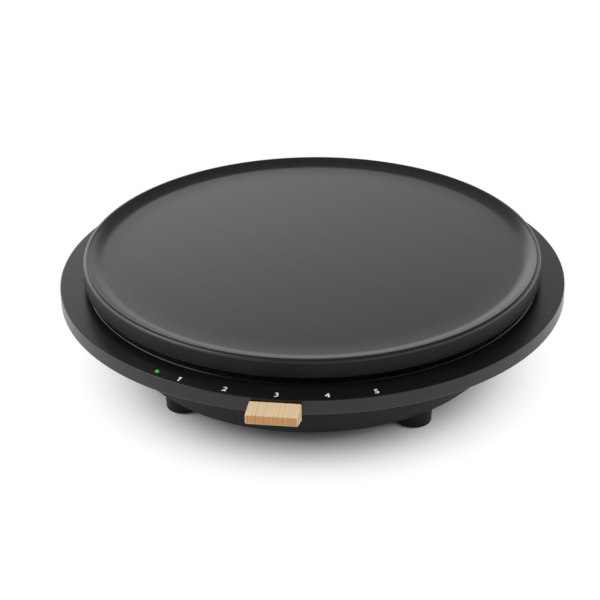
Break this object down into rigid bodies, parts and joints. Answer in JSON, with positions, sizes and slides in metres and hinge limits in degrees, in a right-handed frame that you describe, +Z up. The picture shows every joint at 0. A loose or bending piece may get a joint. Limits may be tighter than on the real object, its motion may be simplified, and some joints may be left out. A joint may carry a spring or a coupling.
{
  "type": "electric crepe maker",
  "caption": "Low round electric crepe maker: rimmed non-stick cast plate on a wide flanged housing with a shallow bowl, short feet and a wooden temperature slider at the front.",
  "frame": {"origin": "centre of the plane that the feet stand on, under the cooking plate's centre", "axes": "+Z up along the plate's axis, -Y towards the slider and its numbers, +X to the user's right, +Y towards the cord gland at the back"},
  "size_m": [0.3599, 0.378, 0.089],
  "materials": {
    "plate_coating": "satin non-stick coating on cast aluminium",
    "housing_plastic": "satin black heat-resistant plastic",
    "foot_plastic": "matt black plastic",
    "rubber_black": "matt",
    "knob_wood": "pale oiled wood",
    "bright_steel": "plated",
    "element_steel": "heat-dulled steel sheath",
    "sheet_aluminium": "mill finish",
    "terminal_brass": "plain",
    "white_ceramic": "unglazed ceramic, density taken as plastic",
    "lens_green": "clear green plastic",
    "board_green": "circuit board",
    "wire_brown": "silicone insulation",
    "wire_blue": "silicone insulation",
    "wire_green_yellow": "silicone insulation",
    "wire_red": "silicone insulation",
    "sleeve_white": "woven glass sleeve"
  },
  "bodies": {
    "base": {"cooking_plate": "plate_coating", "heating_element": "element_steel", "element_insulators": "white_ceramic", "element_terminals": "terminal_brass", "heat_reflector": "sheet_aluminium", "plate_spacers": "white_ceramic", "plate_screws": "bright_steel", "top_housing": "housing_plastic", "bottom_housing": "housing_plastic", "housing_screws": "bright_steel", "foot_front_left": "foot_plastic", "foot_front_right": "foot_plastic", "foot_back_left": "foot_plastic", "foot_back_right": "foot_plastic", "pad_front_left": "rubber_black", "pad_front_right": "rubber_black", "pad_back_left": "rubber_black", "pad_back_right": "rubber_black", "thermostat_body": "white_ceramic", "thermostat_terminals": "terminal_brass", "thermostat_bracket": "bright_steel", "bracket_screws": "bright_steel", "indicator_lens": "lens_green", "indicator_lamp": "lens_green", "lamp_board": "board_green", "lamp_lead": "sleeve_white", "thermal_fuse": "white_ceramic", "fuse_clip": "bright_steel", "fuse_screw": "bright_steel", "terminal_block": "white_ceramic", "clamp_screws": "terminal_brass", "block_screws": "bright_steel", "cord_gland": "rubber_black", "earth_tab": "terminal_brass", "earth_rivet": "bright_steel", "wire_live": "wire_brown", "wire_neutral": "wire_blue", "wire_earth": "wire_green_yellow", "wire_fuse": "wire_red", "wire_element": "wire_red"},
    "slider": {"thermostat_spindle": "bright_steel", "spindle_nut": "bright_steel", "slider_arm": "bright_steel", "slider_knob": "knob_wood", "knob_screws": "bright_steel"}
  },
  "joints": [
    {"name": "temperature_slide", "type": "hinge", "parent": "base", "child": "slider", "pos_m": [0, 0, 0.057], "axis": [0, 0, 1], "range_deg": [-21, 21]}
  ]
}
